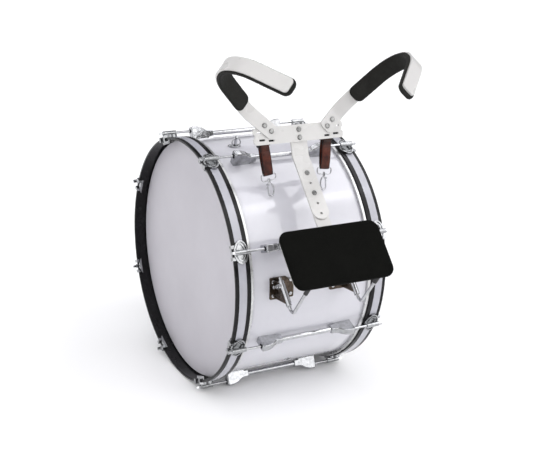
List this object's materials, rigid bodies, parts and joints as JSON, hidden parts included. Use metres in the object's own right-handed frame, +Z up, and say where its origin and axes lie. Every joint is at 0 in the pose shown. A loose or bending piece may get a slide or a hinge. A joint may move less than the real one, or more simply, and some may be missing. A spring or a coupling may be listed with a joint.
{
  "type": "marching bass drum with carrier",
  "caption": "Two-headed marching bass drum with tension hardware and a worn shoulder carrier: padded arms, adjustable spine, belly plate, straps and snap hooks.",
  "frame": {"origin": "on the floor under the centre of the whole object's bounding box", "axes": "+X along the drum's axis towards the right head as the player wears it, -Y towards the player and the carrier's pads, +Z up"},
  "size_m": [0.4918, 0.7828, 0.9046],
  "materials": {
    "shell_wood": "raw maple plies",
    "white_covering": "high gloss",
    "chrome": "polished",
    "satin_aluminium": "satin",
    "drumhead_film": "matt, lightly coated",
    "black_hoop_paint": "black gloss lacquer on wood",
    "white_inlay": "gloss",
    "zinc_steel": "zinc plated",
    "dark_nickel": "dark plated casting",
    "carrier_paint": "off-white gloss powder coat",
    "black_foam": "matt closed-cell foam",
    "black_rubber": "matt",
    "brown_leather": "smooth, dark red-brown with black edges",
    "black_metal": "black, semi-gloss"
  },
  "bodies": {
    "drum": {"shell": "shell_wood", "shell_covering": "white_covering", "vent_grommet": "chrome", "right_head": "drumhead_film", "left_head": "drumhead_film", "right_flesh_hoop": "satin_aluminium", "left_flesh_hoop": "satin_aluminium", "right_counterhoop": "black_hoop_paint", "left_counterhoop": "black_hoop_paint", "hoop_inlays": "white_inlay", "right_claws": "chrome", "left_claws": "chrome", "lug_posts": "chrome", "lug_tubes": "chrome", "lug_nuts": "zinc_steel", "ring_plates": "chrome", "rod_brackets": "dark_nickel", "rod_sleeves": "chrome", "clamp_screws": "chrome", "shell_fasteners": "zinc_steel"},
    "carrier": {"crossbar": "carrier_paint", "upper_spine": "carrier_paint", "lower_spine": "carrier_paint", "carrier_screws": "zinc_steel", "carrier_nuts": "zinc_steel", "left_arm": "carrier_paint", "right_arm": "carrier_paint", "left_arm_pad": "black_foam", "right_arm_pad": "black_foam", "belly_plate": "carrier_paint", "belly_pad": "black_foam", "carrier_rods": "zinc_steel", "rod_bushes": "black_rubber", "strap_hangers": "black_metal"},
    "right_tension_rod_1": {"right_tension_rod_1": "chrome"},
    "left_tension_rod_1": {"left_tension_rod_1": "chrome"},
    "right_tension_rod_2": {"right_tension_rod_2": "chrome"},
    "left_tension_rod_2": {"left_tension_rod_2": "chrome"},
    "right_tension_rod_3": {"right_tension_rod_3": "chrome"},
    "left_tension_rod_3": {"left_tension_rod_3": "chrome"},
    "right_tension_rod_4": {"right_tension_rod_4": "chrome"},
    "left_tension_rod_4": {"left_tension_rod_4": "chrome"},
    "right_tension_rod_5": {"right_tension_rod_5": "chrome"},
    "left_tension_rod_5": {"left_tension_rod_5": "chrome"},
    "right_tension_rod_6": {"right_tension_rod_6": "chrome"},
    "left_tension_rod_6": {"left_tension_rod_6": "chrome"},
    "right_tension_rod_7": {"right_tension_rod_7": "chrome"},
    "left_tension_rod_7": {"left_tension_rod_7": "chrome"},
    "right_tension_rod_8": {"right_tension_rod_8": "chrome"},
    "left_tension_rod_8": {"left_tension_rod_8": "chrome"},
    "left_ring": {"left_ring": "chrome"},
    "right_ring": {"right_ring": "chrome"},
    "left_strap": {"left_strap": "brown_leather"},
    "left_strap_loop": {"left_strap_loop": "chrome"},
    "left_snap_hook": {"left_snap_hook": "chrome"},
    "left_snap_gate": {"left_snap_gate": "chrome"},
    "right_strap": {"right_strap": "brown_leather"},
    "right_strap_loop": {"right_strap_loop": "chrome"},
    "right_snap_hook": {"right_snap_hook": "chrome"},
    "right_snap_gate": {"right_snap_gate": "chrome"}
  },
  "joints": [
    {"name": "right_tension_rod_1_turn", "type": "hinge", "parent": "drum", "child": "right_tension_rod_1", "pos_m": [0.15835, -0.05037, 0.61926], "axis": [1, 0, 0], "continuous": true},
    {"name": "left_tension_rod_1_turn", "type": "hinge", "parent": "drum", "child": "left_tension_rod_1", "pos_m": [-0.14165, -0.05037, 0.61926], "axis": [-1, 0, 0], "continuous": true},
    {"name": "right_tension_rod_2_turn", "type": "hinge", "parent": "drum", "child": "right_tension_rod_2", "pos_m": [0.15835, -0.22788, 0.44175], "axis": [1, 0, 0], "continuous": true},
    {"name": "left_tension_rod_2_turn", "type": "hinge", "parent": "drum", "child": "left_tension_rod_2", "pos_m": [-0.14165, -0.22788, 0.44175], "axis": [-1, 0, 0], "continuous": true},
    {"name": "right_tension_rod_3_turn", "type": "hinge", "parent": "drum", "child": "right_tension_rod_3", "pos_m": [0.15835, -0.22788, 0.19071], "axis": [1, 0, 0], "continuous": true},
    {"name": "left_tension_rod_3_turn", "type": "hinge", "parent": "drum", "child": "left_tension_rod_3", "pos_m": [-0.14165, -0.22788, 0.19071], "axis": [-1, 0, 0], "continuous": true},
    {"name": "right_tension_rod_4_turn", "type": "hinge", "parent": "drum", "child": "right_tension_rod_4", "pos_m": [0.15835, -0.05037, 0.0132], "axis": [1, 0, 0], "continuous": true},
    {"name": "left_tension_rod_4_turn", "type": "hinge", "parent": "drum", "child": "left_tension_rod_4", "pos_m": [-0.14165, -0.05037, 0.0132], "axis": [-1, 0, 0], "continuous": true},
    {"name": "right_tension_rod_5_turn", "type": "hinge", "parent": "drum", "child": "right_tension_rod_5", "pos_m": [0.15835, 0.20067, 0.0132], "axis": [1, 0, 0], "continuous": true},
    {"name": "left_tension_rod_5_turn", "type": "hinge", "parent": "drum", "child": "left_tension_rod_5", "pos_m": [-0.14165, 0.20067, 0.0132], "axis": [-1, 0, 0], "continuous": true},
    {"name": "right_tension_rod_6_turn", "type": "hinge", "parent": "drum", "child": "right_tension_rod_6", "pos_m": [0.15835, 0.37818, 0.19071], "axis": [1, 0, 0], "continuous": true},
    {"name": "left_tension_rod_6_turn", "type": "hinge", "parent": "drum", "child": "left_tension_rod_6", "pos_m": [-0.14165, 0.37818, 0.19071], "axis": [-1, 0, 0], "continuous": true},
    {"name": "right_tension_rod_7_turn", "type": "hinge", "parent": "drum", "child": "right_tension_rod_7", "pos_m": [0.15835, 0.37818, 0.44175], "axis": [1, 0, 0], "continuous": true},
    {"name": "left_tension_rod_7_turn", "type": "hinge", "parent": "drum", "child": "left_tension_rod_7", "pos_m": [-0.14165, 0.37818, 0.44175], "axis": [-1, 0, 0], "continuous": true},
    {"name": "right_tension_rod_8_turn", "type": "hinge", "parent": "drum", "child": "right_tension_rod_8", "pos_m": [0.15835, 0.20067, 0.61926], "axis": [1, 0, 0], "continuous": true},
    {"name": "left_tension_rod_8_turn", "type": "hinge", "parent": "drum", "child": "left_tension_rod_8", "pos_m": [-0.14165, 0.20067, 0.61926], "axis": [-1, 0, 0], "continuous": true},
    {"name": "right_ring_swing", "type": "hinge", "parent": "drum", "child": "right_ring", "pos_m": [0.09535, 0.0223, 0.64194], "axis": [-1, 0, 0], "range_deg": [0, 80]},
    {"name": "left_ring_swing", "type": "hinge", "parent": "drum", "child": "left_ring", "pos_m": [-0.07865, 0.0223, 0.64194], "axis": [-1, 0, 0], "range_deg": [0, 80]},
    {"name": "carrier_slide", "type": "slide", "parent": "drum", "child": "carrier", "axis": [0, -0.7009, -0.7133], "range_m": [0, 0.045]},
    {"name": "right_strap_swing", "type": "hinge", "parent": "carrier", "child": "right_strap", "pos_m": [0.09485, -0.11785, 0.66023], "axis": [-0.9933, 0.023, 0.1129], "range_deg": [0, 55]},
    {"name": "right_strap_loop_swing", "type": "hinge", "parent": "right_strap", "child": "right_strap_loop", "pos_m": [0.08679, -0.13175, 0.5921], "axis": [-0.9933, 0.023, 0.1129], "range_deg": [0, 60]},
    {"name": "right_snap_hook_swivel", "type": "hinge", "parent": "right_strap_loop", "child": "right_snap_hook", "pos_m": [0.08488, -0.13503, 0.57604], "axis": [-0.1152, -0.1986, -0.9733], "continuous": true},
    {"name": "right_snap_gate_press", "type": "hinge", "parent": "right_snap_hook", "child": "right_snap_gate", "pos_m": [0.08883, -0.13709, 0.56593], "axis": [0, 0.9798, -0.2], "range_deg": [0, 25], "stiffness_Nm_per_rad": 0.03, "springref_deg": -17.19},
    {"name": "left_strap_swing", "type": "hinge", "parent": "carrier", "child": "left_strap", "pos_m": [-0.07815, -0.11785, 0.66023], "axis": [-0.9933, -0.023, -0.1129], "range_deg": [0, 55]},
    {"name": "left_strap_loop_swing", "type": "hinge", "parent": "left_strap", "child": "left_strap_loop", "pos_m": [-0.07009, -0.13175, 0.5921], "axis": [-0.9933, -0.023, -0.1129], "range_deg": [0, 60]},
    {"name": "left_snap_hook_swivel", "type": "hinge", "parent": "left_strap_loop", "child": "left_snap_hook", "pos_m": [-0.06819, -0.13503, 0.57604], "axis": [0.1152, -0.1986, -0.9733], "continuous": true},
    {"name": "left_snap_gate_press", "type": "hinge", "parent": "left_snap_hook", "child": "left_snap_gate", "pos_m": [-0.07214, -0.13709, 0.56593], "axis": [0, -0.9798, 0.2], "range_deg": [0, 25], "stiffness_Nm_per_rad": 0.03, "springref_deg": -17.19}
  ]
}
